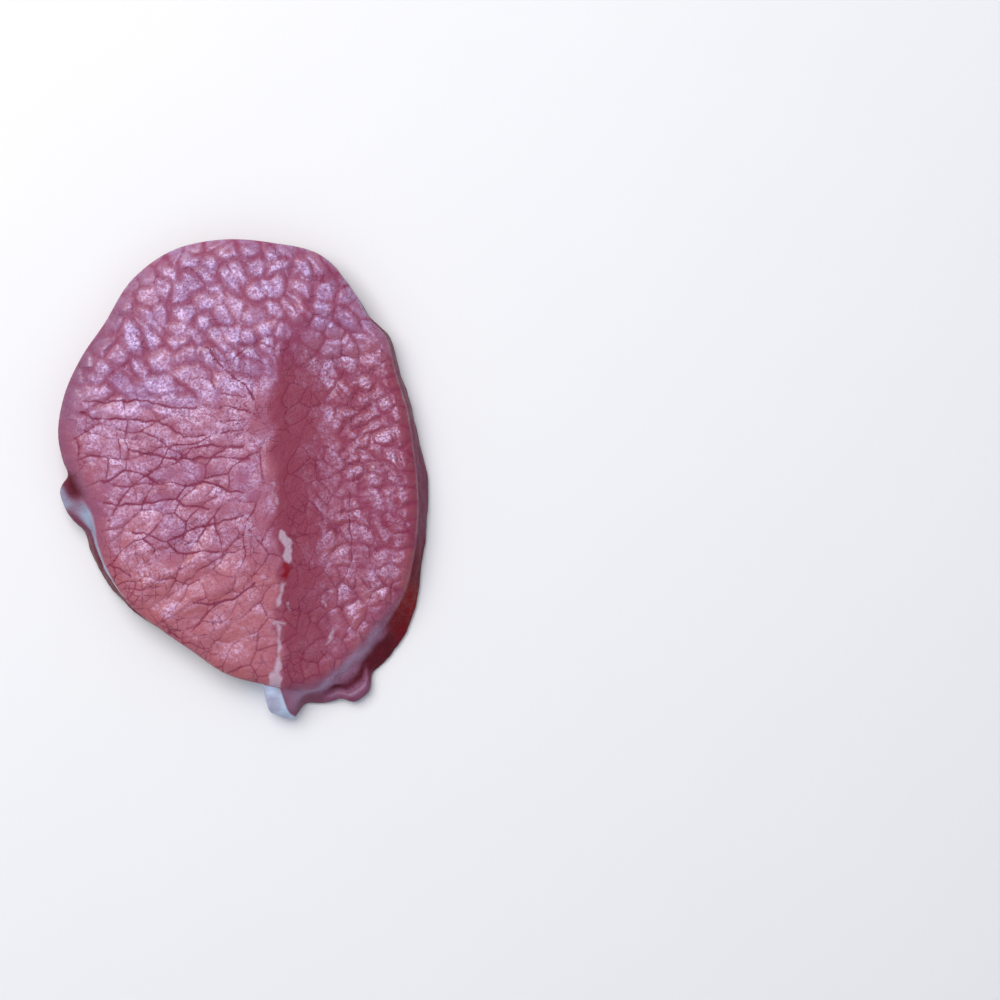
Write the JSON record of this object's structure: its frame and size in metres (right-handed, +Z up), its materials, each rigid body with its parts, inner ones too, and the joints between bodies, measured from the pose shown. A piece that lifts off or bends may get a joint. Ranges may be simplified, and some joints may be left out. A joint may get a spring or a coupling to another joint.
{
  "type": "eye round steak",
  "caption": "Raw eye round steak: a thin oval slice of lean beef with a crest along its seam, a network of meat bundles, a fat lump on its left wall and a fat tab at its lower end.",
  "frame": {"origin": "centre of the bounding box on the flat underside that the steak rests on", "axes": "+Z up out of the cut face, through the thickness; +Y along the longer way of the oval, towards the wide upper end; +X to the right of it"},
  "size_m": [0.0888, 0.1156, 0.0117],
  "materials": {
    "meat": "satin"
  },
  "bodies": {
    "root": {"steak": "meat"}
  },
  "joints": []
}
